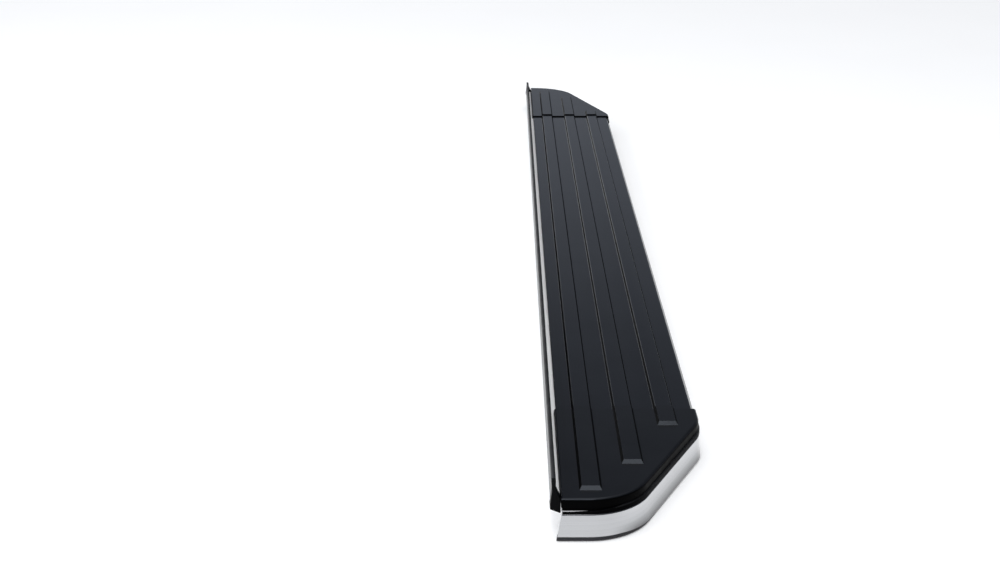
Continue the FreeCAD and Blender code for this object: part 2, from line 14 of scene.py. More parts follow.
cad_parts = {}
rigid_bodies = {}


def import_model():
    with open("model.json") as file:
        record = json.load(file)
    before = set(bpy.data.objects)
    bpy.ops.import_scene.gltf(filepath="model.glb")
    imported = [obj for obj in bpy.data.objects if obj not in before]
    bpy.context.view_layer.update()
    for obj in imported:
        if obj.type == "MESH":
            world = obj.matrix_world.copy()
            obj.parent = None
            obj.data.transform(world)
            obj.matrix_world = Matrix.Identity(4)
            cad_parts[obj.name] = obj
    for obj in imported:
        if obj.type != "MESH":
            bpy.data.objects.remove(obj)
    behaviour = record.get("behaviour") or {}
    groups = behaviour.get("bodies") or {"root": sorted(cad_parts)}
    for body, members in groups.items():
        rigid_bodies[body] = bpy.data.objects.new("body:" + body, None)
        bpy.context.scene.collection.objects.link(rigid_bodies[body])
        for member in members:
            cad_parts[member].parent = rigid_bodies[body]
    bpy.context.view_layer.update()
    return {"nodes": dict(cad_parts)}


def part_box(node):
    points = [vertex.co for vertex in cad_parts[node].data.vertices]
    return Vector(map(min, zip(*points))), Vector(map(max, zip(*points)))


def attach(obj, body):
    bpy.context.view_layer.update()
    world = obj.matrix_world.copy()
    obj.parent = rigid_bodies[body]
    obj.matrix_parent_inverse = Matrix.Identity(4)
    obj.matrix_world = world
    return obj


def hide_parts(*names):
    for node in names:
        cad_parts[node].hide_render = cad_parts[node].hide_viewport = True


for leftover in list(bpy.data.objects):
    bpy.data.objects.remove(leftover)
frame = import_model()

MM = 0.001
SHARP = math.radians(32.0)
TURN_STEP = math.radians(4.0)
RING_STEP = math.radians(15.0)
EDGE_STEPS = 5
WELD_DISTANCE = 0.001 * MM
FLAT_ANGLE = math.radians(0.3)

# Plan outline of the end caps' flat top, as in the part: the trim is placed outside it
NOSE_Y = 8.0 * MM
OUTER_Y = -75.5 * MM
CORNER_R = 45.0 * MM
REAR_NOSE_R = 60.0 * MM
FRONT_NOSE_R = 80.0 * MM
REAR_CORNER_RUN = 28.6 * MM
FRONT_CORNER_RUN = 19.0 * MM

# Outer trim: middle line of the strip (out from the outline, height), and the slanted cut of its ends
TRIM_THICK = 1.1 * MM
TRIM_LINE = ((3.2, 5.0), (3.9, 0.55), (7.35, 0.55), (5.1, 13.5), (4.9, 26.4), (2.0, 29.9), (-3.6, 29.9))
TRIM_RADII = (1.3, 1.4, 90.0, 1.2, 1.0)
TRIM_CUT_LOW_Y = 74.8 * MM
TRIM_CUT_SLOPE = -5.1 / 29.9
LIP_TALL_Z = 4.6 * MM
LIP_TALL_FROM_Y = 12.0 * MM
LIP_THIN_Z = 1.0 * MM
LIP_THIN_TO_Y = -40.0 * MM

# Tread plank
RIB_Y = (-45.0 * MM, -1.5 * MM, 42.2 * MM)
RIB_BASE_HALF = 10.75 * MM
RIB_TOP_HALF = 8.5 * MM
RIB_H = 3.5 * MM
PLANK_THICK = 3.5 * MM
SKIRT_THICK = 3.2 * MM
PLANK_EDGE_R = 2.4 * MM
RIB_CREST_R = 0.7 * MM
RIB_FOOT_R = 0.6 * MM
HIDDEN_EDGE_R = 0.4 * MM
PLANK_INNER_R = 0.8 * MM
PLANK_STATIONS = 12

# Edge seal
SEAL_WALL = 0.55 * MM
SEAL_TOP_R = 1.9 * MM
SEAL_LIP_R = 0.15 * MM
SEAL_GROOVE_R = 0.1 * MM
SEAL_GROOVE_GAP = 0.15 * MM
SEAL_STATIONS = 8

# Rounding of the pieces that keep their CAD shape
CAP_ROUND = 0.7 * MM
CARRIER_ROUND = 0.35 * MM
PLUG_ROUND = 0.4 * MM
PROFILE_ROUND = 0.25 * MM
SPRING_ROUND = 0.15 * MM

# Faces with a surface of their own: darker copies of their material, as painted shade and painted reflection
WALL_TILT = 0.57
TRIM_LEDGE_TILT = 0.25
TRIM_LEDGE_Z = 24.0 * MM
UPSTAND_FACING = 0.6
UPSTAND_FOOT_Z = 26.0 * MM

# Fasteners
THREAD_PITCH = 1.25 * MM
THREAD_DEPTH = 0.62 * MM
THREAD_ROWS_PER_PITCH = 8
THREAD_SIDES = 40
THREAD_FLANK = 1.25
THREAD_CREST = 0.12
LEAD_IN_RUN = 0.9 * MM
LEAD_IN_DEPTH = 0.5 * MM
STUD_R = 4.0 * MM
NECK_HALF = 4.1 * MM
NECK_LOW_Z = 20.0 * MM
NECK_CORNER_R = 0.5 * MM
HEAD_LOW_Z = 23.1 * MM
HEAD_CORNER_R = 1.5 * MM
BOLT_OVERLAP = 0.5 * MM
SCREW_SIDES = 20
SCREW_ROWS = 36
SCREW_GROOVE = 0.32 * MM
RIVET_SIDES = 20
CLIP_SIDES = 24


# ---------------------------------------------------------------- mesh tools

def unit(vector):
    """The vector at length one."""
    return vector / np.linalg.norm(vector)


def right_of(direction):
    """The normal to the right of a plane direction."""
    return np.array((direction[1], -direction[0]))


def corner_arc(before, corner, after, radius, step=TURN_STEP):
    """Points and right-hand normals round one rounded corner."""
    come = unit(corner - before)
    go = unit(after - corner)
    turn = math.atan2(come[0] * go[1] - come[1] * go[0], float(come @ go))
    side = math.copysign(1.0, turn)
    entry = corner - come * radius * math.tan(abs(turn) / 2)
    centre = entry - right_of(come) * side * radius
    count = max(2, math.ceil(abs(turn) / step))
    found = []
    for k in range(count + 1):
        angle = turn * k / count
        c, s = math.cos(angle), math.sin(angle)
        heading = np.array((come[0] * c - come[1] * s, come[0] * s + come[1] * c))
        found.append((centre + right_of(heading) * side * radius, right_of(heading)))
    return found


def open_line(corners, radii):
    """Points and right-hand normals along an open line with rounded corners."""
    points = [np.array(c, float) for c in corners]
    found = [(points[0], right_of(unit(points[1] - points[0])))]
    for i, radius in enumerate(radii, 1):
        found += corner_arc(points[i - 1], points[i], points[i + 1], radius)
    found.append((points[-1], right_of(unit(points[-1] - points[-2]))))
    return found


def closed_ring(corners, radii, step=RING_STEP):
    """Points round a closed outline with rounded corners."""
    points = [np.array(c, float) for c in corners]
    found = []
    for i, radius in enumerate(radii):
        after = points[(i + 1) % len(points)]
        found += [p for p, _ in corner_arc(points[i - 1], points[i], after, radius, step)]
    return found


def strip_outline(corners, radii, thickness):
    """The closed outline of a strip of even thickness about a middle line, its two edges rounded."""
    line = open_line(corners, radii)
    half = thickness / 2
    first = [p + n * half for p, n in line]
    second = [p - n * half for p, n in line]

    def edge(point, normal, ahead):
        turned = []
        for k in range(1, EDGE_STEPS):
            angle = math.pi * k / EDGE_STEPS
            turned.append(point + half * (normal * math.cos(angle) + ahead * math.sin(angle)))
        return turned

    end, end_normal = line[-1]
    start, start_normal = line[0]
    end_ahead = np.array((-end_normal[1], end_normal[0]))
    start_back = np.array((start_normal[1], -start_normal[0]))
    return first + edge(end, end_normal, end_ahead) + second[::-1] + edge(start, -start_normal, start_back)


def make_object(name, vertices, faces, sharp=SHARP):
    """A mesh object with outward normals, smooth but for its sharp edges."""
    mesh = bpy.data.meshes.new(name)
    mesh.from_pydata([tuple(v) for v in vertices], [], faces)
    tidy = bmesh.new()
    tidy.from_mesh(mesh)
    bmesh.ops.recalc_face_normals(tidy, faces=tidy.faces)
    tidy.to_mesh(mesh)
    tidy.free()
    mesh.shade_smooth()
    mesh.set_sharp_from_angle(angle=sharp)
    obj = bpy.data.objects.new(name, mesh)
    bpy.context.scene.collection.objects.link(obj)
    return obj


def joined_rings(rings):
    """Vertices and faces of a closed skin through rings of equal count, with both ends filled."""
    count = len(rings[0])
    vertices = [p for ring in rings for p in ring]
    faces = []
    for r in range(len(rings) - 1):
        for i in range(count):
            j = (i + 1) % count
            faces.append((r * count + i, r * count + j, (r + 1) * count + j, (r + 1) * count + i))
    faces.append(tuple(range(count)))
    faces.append(tuple((len(rings) - 1) * count + i for i in range(count)))
    return vertices, faces


def extruded_x(name, ring, stations):
    """A solid from a closed (Y, Z) ring run along X."""
    return make_object(name, *joined_rings([[(x, p[0], p[1]) for p in ring] for x in stations]))


def lathed(profile, sides, centre=(0.0, 0.0, 0.0)):
    """Vertices and faces of a solid of revolution about Z from (radius, height) points."""
    rings = []
    for radius, height in profile:
        ring = []
        for i in range(sides):
            angle = 2 * math.pi * i / sides
            ring.append((centre[0] + radius * math.cos(angle), centre[1] + radius * math.sin(angle),
                         centre[2] + height))
        rings.append(ring)
    return joined_rings(rings)


def merged(parts):
    """Vertices and faces of several separate solids as one list."""
    vertices, faces = [], []
    for part_vertices, part_faces in parts:
        offset = len(vertices)
        vertices += list(part_vertices)
        faces += [tuple(i + offset for i in face) for face in part_faces]
    return vertices, faces


def solids_of(node):
    """(lowest corner, highest corner) of each separate solid in a CAD node."""
    copy = bmesh.new()
    copy.from_mesh(frame["nodes"][node].data)
    bmesh.ops.remove_doubles(copy, verts=copy.verts, dist=WELD_DISTANCE)
    unseen = set(copy.verts)
    found = []
    while unseen:
        group = [unseen.pop()]
        for vertex in group:
            for edge in vertex.link_edges:
                other = edge.other_vert(vertex)
                if other in unseen:
                    unseen.remove(other)
                    group.append(other)
        places = np.array([v.co for v in group])
        found.append((places.min(0), places.max(0)))
    copy.free()
    return sorted(found, key=lambda pair: tuple(pair[0]))


def softened(node, name, width, segments=3):
    """A copy of a CAD node's shape with its hard edges rounded and its flat faces shaded flat."""
    mesh = frame["nodes"][node].data.copy()
    mesh.name = name
    clean = bmesh.new()
    clean.from_mesh(mesh)
    bmesh.ops.remove_doubles(clean, verts=clean.verts, dist=WELD_DISTANCE)
    bmesh.ops.dissolve_limit(clean, angle_limit=FLAT_ANGLE, verts=clean.verts, edges=clean.edges)
    clean.to_mesh(mesh)
    clean.free()
    mesh.materials.clear()
    if mesh.has_custom_normals:
        mesh.normals_split_custom_set([(0.0, 0.0, 0.0)] * len(mesh.loops))
    mesh.shade_smooth()
    obj = bpy.data.objects.new(name, mesh)
    bpy.context.scene.collection.objects.link(obj)
    bevel = obj.modifiers.new("rounded", "BEVEL")
    bevel.width = width
    bevel.segments = segments
    bevel.limit_method = "ANGLE"
    bevel.angle_limit = SHARP
    bevel.miter_outer = "MITER_ARC"
    bevel.use_clamp_overlap = True
    even = obj.modifiers.new("flat_faces_stay_flat", "WEIGHTED_NORMAL")
    even.mode = "FACE_AREA_WITH_ANGLE"
    even.weight = 100
    even.keep_sharp = False
    return obj


def stand_in(obj, node, body, surface):
    """Puts a detailed piece in a CAD node's place."""
    obj.data.materials.append(surface)
    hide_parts(node)
    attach(obj, body)
    return obj


def own_surface(obj, surface, chosen):
    """Gives the faces picked by a test a surface of their own."""
    obj.data.materials.append(surface)
    index = len(obj.data.materials) - 1
    for face in obj.data.polygons:
        if chosen(face):
            face.material_index = index


def is_wall(face):
    """True for an upright face or the steep side of a rib."""
    return abs(face.normal.z) < WALL_TILT


def is_trim_ledge(face):
    """True for the trim's upper ledge and the bend outside it."""
    return face.normal.z > TRIM_LEDGE_TILT and face.center.z > TRIM_LEDGE_Z


def is_upstand_back(face):
    """True for a steep face of the deck, above its foot, that looks towards the vehicle."""
    return face.normal.y > UPSTAND_FACING and face.center.z > UPSTAND_FOOT_Z


# ---------------------------------------------------------------- materials

NEUTRAL = (1.0, 1.0, 1.0)
COOL_GLOSS = (0.80, 0.88, 1.0)
ALONG_X = (3.0, 1400.0, 1400.0)
ROUND_THE_BOARD = (3.0, 3.0, 1500.0)
TONE_SCALE = 14.0
GLOSS_SCALE = 60.0
SMUDGE_SCALE = 22.0
# Painted reflection on the trim's foot: its height and side range, and its brightness by height
FOOT_Z = (3.5 * MM, 24.0 * MM)
FOOT_Y = (-1.0 * MM, 22.0 * MM)
FOOT_REFLECTION_STOPS = ((0.0, 0.42, NEUTRAL), (0.49, 1.03, NEUTRAL), (1.0, 1.22, NEUTRAL))
RISING = ((0.0, 0.0, NEUTRAL), (1.0, 1.0, NEUTRAL))
FALLING = ((0.0, 1.0, NEUTRAL), (1.0, 0.0, NEUTRAL))


def new_surface(name):
    """An empty node material and its principled shader."""
    made = bpy.data.materials.new(name)
    made.use_nodes = True
    return made, made.node_tree.nodes, made.node_tree.links, made.node_tree.nodes["Principled BSDF"]


def grain(nodes, links, scale, stretch=(1.0, 1.0, 1.0), detail=4.0):
    """A noise that keeps its size in metres; stretch squeezes it along each axis."""
    place = nodes.new("ShaderNodeTexCoord")
    mapping = nodes.new("ShaderNodeMapping")
    mapping.inputs["Scale"].default_value = stretch
    noise = nodes.new("ShaderNodeTexNoise")
    noise.inputs["Scale"].default_value = scale
    noise.inputs["Detail"].default_value = detail
    links.new(place.outputs["Object"], mapping.inputs["Vector"])
    links.new(mapping.outputs["Vector"], noise.inputs["Vector"])
    return noise.outputs["Fac"]


def ramp(nodes, links, source, low, high, start=0.35, stop=0.65):
    """A noise turned into a colour or number between low and high."""
    made = nodes.new("ShaderNodeValToRGB")
    for element, place, value in zip(made.color_ramp.elements, (start, stop), (low, high)):
        element.position = place
        element.color = (*value, 1.0) if hasattr(value, "__len__") else (value, value, value, 1.0)
    links.new(source, made.inputs["Fac"])
    return made.outputs["Color"]


def bumped(nodes, links, layers, shader):
    """Stacks bump layers of (height, strength, depth in metres) on a shader."""
    normal = None
    for height, strength, depth in layers:
        bump = nodes.new("ShaderNodeBump")
        bump.inputs["Strength"].default_value = strength
        bump.inputs["Distance"].default_value = depth
        links.new(height, bump.inputs["Height"])
        if normal is not None:
            links.new(normal, bump.inputs["Normal"])
        normal = bump.outputs["Normal"]
    links.new(normal, shader.inputs["Normal"])


def moulded(name, dark, light, rough, grain_size, grain_depth, specular=0.5, tint=(1.0, 1.0, 1.0)):
    """Moulded plastic: a fine pebbled grain, uneven tone and uneven gloss."""
    made, nodes, links, shader = new_surface(name)
    tone = grain(nodes, links, TONE_SCALE, detail=6.0)
    pebble = nodes.new("ShaderNodeTexVoronoi")
    place = nodes.new("ShaderNodeTexCoord")
    pebble.inputs["Scale"].default_value = 1.0 / grain_size
    links.new(place.outputs["Object"], pebble.inputs["Vector"])
    links.new(ramp(nodes, links, tone, dark, light), shader.inputs["Base Color"])
    gloss = grain(nodes, links, GLOSS_SCALE, detail=5.0)
    links.new(ramp(nodes, links, gloss, rough[0], rough[1]), shader.inputs["Roughness"])
    fine = grain(nodes, links, 2.0 / grain_size)
    bumped(nodes, links, [(pebble.outputs["Distance"], 0.5, grain_depth), (fine, 0.3, grain_depth)], shader)
    shader.inputs["Specular IOR Level"].default_value = specular
    shader.inputs["Specular Tint"].default_value = (*tint, 1.0)
    return made


def drawn_metal(name, dark, light, rough, stretch, line_depth, smudge=0.04):
    """Metal with fine lines along it and a few faint smudges."""
    made, nodes, links, shader = new_surface(name)
    lines = grain(nodes, links, 1.0, stretch, detail=3.0)
    cloud = grain(nodes, links, SMUDGE_SCALE, detail=6.0)
    links.new(ramp(nodes, links, lines, dark, light, 0.3, 0.7), shader.inputs["Base Color"])
    mix = nodes.new("ShaderNodeMath")
    mix.operation = "ADD"
    links.new(ramp(nodes, links, lines, rough[0], rough[1], 0.3, 0.7), mix.inputs[0])
    links.new(ramp(nodes, links, cloud, 0.0, smudge, 0.4, 0.7), mix.inputs[1])
    links.new(mix.outputs["Value"], shader.inputs["Roughness"])
    bumped(nodes, links, [(lines, 0.35, line_depth)], shader)
    shader.inputs["Metallic"].default_value = 1.0
    return made


def paint_foot_reflection(made):
    """Painted reflection on the trim's slanted foot, on its chamfers and outer side: dark low down, where it
    would mirror the floor's shade, and light above.
    """
    nodes, links = made.node_tree.nodes, made.node_tree.links
    shader = nodes["Principled BSDF"]
    base = shader.inputs["Base Color"].links[0].from_socket
    place = nodes.new("ShaderNodeTexCoord")
    split = nodes.new("ShaderNodeSeparateXYZ")
    links.new(place.outputs["Object"], split.inputs["Vector"])
    height = spread(nodes, links, split.outputs["Z"], FOOT_Z)
    side = spread(nodes, links, split.outputs["Y"], FOOT_Y)
    painted_reflection = graded(nodes, links, height, FOOT_REFLECTION_STOPS)
    plain_share = graded(nodes, links, side, RISING)
    painted_share = graded(nodes, links, side, FALLING)
    mix = nodes.new("ShaderNodeVectorMath")
    mix.operation = "MULTIPLY_ADD"
    for source, socket in zip((painted_reflection, painted_share, plain_share), mix.inputs):
        links.new(source, socket)
    tinted = nodes.new("ShaderNodeVectorMath")
    tinted.operation = "MULTIPLY"
    links.new(base, tinted.inputs[0])
    links.new(mix.outputs["Vector"], tinted.inputs[1])
    links.new(tinted.outputs["Vector"], shader.inputs["Base Color"])


def spread(nodes, links, source, limits):
    """A place along one axis as 0 to 1 between two limits."""
    made = nodes.new("ShaderNodeMapRange")
    made.inputs["From Min"].default_value = limits[0]
    made.inputs["From Max"].default_value = limits[1]
    links.new(source, made.inputs["Value"])
    return made.outputs["Result"]


def graded(nodes, links, source, stops):
    """A colour ramp through (place, brightness, tint) stops."""
    made = nodes.new("ShaderNodeValToRGB")
    elements = made.color_ramp.elements
    while len(elements) < len(stops):
        elements.new(0.5)
    for element, (place_at, value, tint) in zip(elements, stops):
        element.position = place_at
        element.color = (*(value * t for t in tint), 1.0)
    links.new(source, made.inputs["Fac"])
    return made.outputs["Color"]


def cast_metal(name, dark, light, rough, scale=420.0, depth=0.00003):
    """Small metal parts: mottled tone with a fine uneven surface."""
    made, nodes, links, shader = new_surface(name)
    mottle = grain(nodes, links, scale, detail=5.0)
    links.new(ramp(nodes, links, mottle, dark, light, 0.35, 0.7), shader.inputs["Base Color"])
    links.new(ramp(nodes, links, mottle, rough[0], rough[1]), shader.inputs["Roughness"])
    bumped(nodes, links, [(grain(nodes, links, scale * 3.0), 0.3, depth)], shader)
    shader.inputs["Metallic"].default_value = 1.0
    return made


tread_surface = moulded("tread", (0.0048, 0.0055, 0.0076), (0.0062, 0.0071, 0.0096), (0.14, 0.17),
                        0.9 * MM, 0.012 * MM, 0.16, COOL_GLOSS)
cap_surface = moulded("cap_moulding", (0.0044, 0.0050, 0.0066), (0.0058, 0.0065, 0.0084), (0.14, 0.17),
                      0.8 * MM, 0.012 * MM, 0.15, COOL_GLOSS)
# Upright faces and rib sides: a near-black copy of the plastic, as painted shade
shaded_wall_surface = moulded("wall_painted_shade", (0.0010, 0.0010, 0.0011), (0.0020, 0.0020, 0.0022), (0.30, 0.38),
                       0.7 * MM, 0.008 * MM, 0.008)
carrier_surface = moulded("carrier_moulding", (0.0035, 0.0036, 0.0042), (0.0060, 0.0062, 0.0068),
                          (0.20, 0.30), 0.7 * MM, 0.010 * MM, 0.18)
plug_surface = moulded("plug_moulding", (0.0020, 0.0021, 0.0024), (0.0038, 0.0039, 0.0044), (0.34, 0.44),
                       0.8 * MM, 0.030 * MM, 0.03)
clip_surface = moulded("clip_nylon", (0.018, 0.018, 0.019), (0.028, 0.028, 0.029), (0.38, 0.50),
                       0.6 * MM, 0.020 * MM)
seal_surface = moulded("seal_rubber", (0.0070, 0.0070, 0.0076), (0.0130, 0.0130, 0.0138), (0.50, 0.64),
                       0.5 * MM, 0.020 * MM, 0.20)
trim_surface = drawn_metal("trim_steel", (0.425, 0.43, 0.44), (0.465, 0.47, 0.48), (0.10, 0.14),
                           ROUND_THE_BOARD, 0.0006 * MM, 0.05)
# The trim's foot gets a painted reflection: dark low down, light above
paint_foot_reflection(trim_surface)
# The trim's upper ledge and bend: a dark copy of the trim steel, as painted reflection
shaded_ledge_surface = drawn_metal("trim_ledge_painted_reflection", (0.09, 0.09, 0.095), (0.13, 0.13, 0.135), (0.20, 0.28),
                            ROUND_THE_BOARD, 0.0006 * MM)
# The trim's lower band, tall round the ends and thin along the side, is given a near-black surface
dark_band_surface = moulded("trim_dark_band", (0.010, 0.010, 0.012), (0.018, 0.018, 0.021), (0.30, 0.40),
                      0.8 * MM, 0.010 * MM, 0.30)
deck_surface = drawn_metal("deck_aluminium", (0.90, 0.90, 0.90), (0.97, 0.97, 0.97), (0.74, 0.84), ALONG_X,
                           0.010 * MM)
# The upstand's vehicle-side face: a dark copy of the deck aluminium, as painted shade
shaded_upstand_surface = drawn_metal("upstand_back_painted_shade", (0.13, 0.132, 0.135), (0.19, 0.192, 0.195), (0.34, 0.44),
                              ALONG_X, 0.010 * MM)
rail_surface = drawn_metal("rail_aluminium", (0.62, 0.63, 0.65), (0.76, 0.77, 0.79), (0.28, 0.42), ALONG_X,
                           0.015 * MM)
screw_surface = cast_metal("black_screws", (0.014, 0.014, 0.015), (0.035, 0.035, 0.037), (0.34, 0.50))
rivet_surface = cast_metal("rivet_steel", (0.50, 0.51, 0.52), (0.64, 0.65, 0.66), (0.22, 0.36))
spring_surface = cast_metal("spring_steel", (0.16, 0.16, 0.18), (0.30, 0.30, 0.33), (0.26, 0.42))
bolt_surface = cast_metal("bolt_steel", (0.62, 0.60, 0.52), (0.76, 0.74, 0.67), (0.22, 0.36))


# ---------------------------------------------------------------- tread plank

def plank_ring():
    """The plank's closed (Y, Z) outline and the radius of each corner."""
    low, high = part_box("tread_plank")
    top = high.z - RIB_H
    under = top - PLANK_THICK
    corners = [(low.y, low.z), (low.y, top)]
    radii = [HIDDEN_EDGE_R, PLANK_EDGE_R]
    for y in RIB_Y:
        corners += [(y - RIB_BASE_HALF, top), (y - RIB_TOP_HALF, high.z)]
        corners += [(y + RIB_TOP_HALF, high.z), (y + RIB_BASE_HALF, top)]
        radii += [RIB_FOOT_R, RIB_CREST_R, RIB_CREST_R, RIB_FOOT_R]
    corners += [(high.y, top), (high.y, under), (low.y + SKIRT_THICK, under), (low.y + SKIRT_THICK, low.z)]
    radii += [PLANK_INNER_R, HIDDEN_EDGE_R, HIDDEN_EDGE_R, HIDDEN_EDGE_R]
    return closed_ring(corners, radii)


low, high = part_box("tread_plank")
plank = extruded_x("ribbed_tread", plank_ring(), np.linspace(low.x, high.x, PLANK_STATIONS))
stand_in(plank, "tread_plank", "board", tread_surface)
# The plank's upright faces and rib sides are painted near black: painted shade
own_surface(plank, shaded_wall_surface, is_wall)


# ---------------------------------------------------------------- end caps, carriers and plugs

for end in ("rear", "front"):
    cap = softened(end + "_end_cap", end + "_cap_shell", CAP_ROUND)
    stand_in(cap, end + "_end_cap", "board", cap_surface)
    # The cap's upright faces are painted near black: painted shade
    own_surface(cap, shaded_wall_surface, is_wall)
    carrier = softened(end + "_trim_carrier", end + "_carrier_tier", CARRIER_ROUND)
    stand_in(carrier, end + "_trim_carrier", "board", carrier_surface)
    # The carrier's upright faces are painted near black: painted shade
    own_surface(carrier, shaded_wall_surface, is_wall)
    plug = softened(end + "_rail_cap", end + "_rail_plug", PLUG_ROUND)
    stand_in(plug, end + "_rail_cap", "board", plug_surface)


# ---------------------------------------------------------------- outer trim

def trim_rings():
    """Cross-sections of the trim along its path, its two ends cut on a slant."""
    line = [(out * MM, height * MM) for out, height in TRIM_LINE]
    section = strip_outline(line, [r * MM for r in TRIM_RADII], TRIM_THICK)
    low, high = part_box("outer_trim")
    end_x = high.x - max(out for out, height in section)
    rear_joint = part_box("rear_end_cap")[1].x
    front_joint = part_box("front_end_cap")[0].x
    corners = [(-end_x, high.y), (-end_x, NOSE_Y), (rear_joint - REAR_CORNER_RUN, OUTER_Y),
               (front_joint + FRONT_CORNER_RUN, OUTER_Y), (end_x, NOSE_Y), (end_x, high.y)]
    path = open_line(corners, (REAR_NOSE_R, CORNER_R, CORNER_R, FRONT_NOSE_R))
    rings = []
    for i, (point, normal) in enumerate(path):
        ring = []
        for out, height in section:
            x, y = point + normal * out
            if i in (0, len(path) - 1):
                y = TRIM_CUT_LOW_Y + TRIM_CUT_SLOPE * height
            ring.append((x, y, height))
        rings.append(ring)
    return rings


def lip_height(y):
    """Top of the trim's dark lower lip: tall round the ends, thin along the side."""
    share = (y - LIP_THIN_TO_Y) / (LIP_TALL_FROM_Y - LIP_THIN_TO_Y)
    return LIP_THIN_Z + (LIP_TALL_Z - LIP_THIN_Z) * min(1.0, max(0.0, share))


def darken_lip(obj, surface):
    """Cuts the trim's mesh along the top of its lip and gives the lip its own surface."""
    slope = (LIP_TALL_Z - LIP_THIN_Z) / (LIP_TALL_FROM_Y - LIP_THIN_TO_Y)
    cuts = [((0.0, 0.0, LIP_TALL_Z), (0.0, 0.0, 1.0)), ((0.0, 0.0, LIP_THIN_Z), (0.0, 0.0, 1.0)),
            ((0.0, LIP_THIN_TO_Y, LIP_THIN_Z), (0.0, -slope, 1.0))]
    cut = bmesh.new()
    cut.from_mesh(obj.data)
    for place, normal in cuts:
        everything = cut.verts[:] + cut.edges[:] + cut.faces[:]
        bmesh.ops.bisect_plane(cut, geom=everything, plane_co=place, plane_no=normal)
    for face in cut.faces:
        middle = face.calc_center_median()
        face.material_index = 1 if middle.z < lip_height(middle.y) else 0
    cut.to_mesh(obj.data)
    cut.free()
    obj.data.materials.append(surface)


trim = make_object("bright_trim", *joined_rings(trim_rings()))
stand_in(trim, "outer_trim", "board", trim_surface)
darken_lip(trim, dark_band_surface)
# The ledge gets its darker steel: painted reflection
own_surface(trim, shaded_ledge_surface, is_trim_ledge)


# ---------------------------------------------------------------- rail, seal and slot rails

def seal_ring():
    """The seal's closed (Y, Z) outline: a channel open below, its groove over the upstand's edge."""
    low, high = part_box("edge_seal")
    groove_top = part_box("deck_extrusion")[1].z + SEAL_GROOVE_GAP
    corners = [(low.y, low.z), (low.y, high.z), (high.y, high.z), (high.y, low.z),
               (high.y - SEAL_WALL, low.z), (high.y - SEAL_WALL, groove_top),
               (low.y + SEAL_WALL, groove_top), (low.y + SEAL_WALL, low.z)]
    radii = [SEAL_LIP_R, SEAL_TOP_R, SEAL_TOP_R, SEAL_LIP_R]
    radii += [SEAL_LIP_R, SEAL_GROOVE_R, SEAL_GROOVE_R, SEAL_LIP_R]
    return closed_ring(corners, radii)


low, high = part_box("edge_seal")
seal = extruded_x("flange_seal", seal_ring(), np.linspace(low.x, high.x, SEAL_STATIONS))
stand_in(seal, "edge_seal", "board", seal_surface)

deck = softened("deck_extrusion", "deck_and_rail", PROFILE_ROUND, 2)
stand_in(deck, "deck_extrusion", "board", deck_surface)
# The upstand's back gets its darker aluminium: painted shade
own_surface(deck, shaded_upstand_surface, is_upstand_back)
for side in ("outer", "inner"):
    rail = softened(side + "_slot_rail", side + "_bolt_channel", PROFILE_ROUND, 2)
    stand_in(rail, side + "_slot_rail", "board", rail_surface)


# ---------------------------------------------------------------- fasteners

def pan_screw(low, high):
    """A pan-head screw that points up, with a round recess in its head and a threaded shank."""
    centre = (low + high) / 2
    head_r = (high[0] - low[0]) / 2
    head_h = 2.0 * MM
    shank_r = 1.88 * MM
    recess = [(0.25 * MM, 1.35 * MM), (1.15 * MM, 1.25 * MM), (1.35 * MM, 0.05 * MM)]
    head = [(head_r * 0.62, 0.0), (head_r * 0.86, 0.18 * MM), (head_r * 0.97, 0.65 * MM), (head_r, 1.2 * MM),
            (head_r, head_h), (shank_r, head_h)]
    shank = []
    length = high[2] - low[2]
    for k in range(SCREW_ROWS):
        share = k / (SCREW_ROWS - 1)
        height = head_h + 0.3 * MM + share * (length - head_h - 2.2 * MM)
        shank.append((shank_r - (SCREW_GROOVE if k % 2 else 0.0), height))
    tip = [(shank_r * 0.55, length - 0.8 * MM), (0.15 * MM, length)]
    return lathed(recess + head + shank + tip, SCREW_SIDES, (centre[0], centre[1], low[2]))


def blind_rivet(low, high):
    """A dome-head blind rivet, its head below, with the broken-off mandrel in the middle."""
    centre = (low + high) / 2
    head_r = (high[0] - low[0]) / 2
    body_r = 1.6 * MM
    mandrel = [(0.2 * MM, 0.42 * MM), (0.72 * MM, 0.40 * MM), (0.82 * MM, 0.04 * MM), (1.05 * MM, 0.0)]
    dome = [(head_r * 0.66, 0.10 * MM), (head_r * 0.88, 0.35 * MM), (head_r, 0.75 * MM), (head_r, 0.98 * MM)]
    body = [(body_r, 1.0 * MM), (body_r, high[2] - low[2])]
    return lathed(mandrel + dome + body, RIVET_SIDES, (centre[0], centre[1], low[2]))


def fir_tree_clip(low, high):
    """A push-in clip: flat head on top, finned stem below."""
    centre = (low + high) / 2
    head_r = (high[0] - low[0]) / 2
    length = high[2] - low[2]
    stem_r = 2.0 * MM
    hole_r = 2.95 * MM
    barb_r = 3.8 * MM
    profile = [(1.0 * MM, 0.0)]
    for k in range(3):
        base = (0.9 + k * 1.6) * MM
        profile += [(stem_r, base), (barb_r if k else 3.3 * MM, base + 1.0 * MM), (stem_r, base + 1.15 * MM)]
    profile += [(hole_r, 6.0 * MM), (hole_r, length - 1.1 * MM), (head_r * 0.97, length - 1.05 * MM),
                (head_r, length - 0.8 * MM), (head_r, length - 0.25 * MM), (head_r * 0.95, length)]
    return lathed(profile, CLIP_SIDES, (centre[0], centre[1], low[2]))


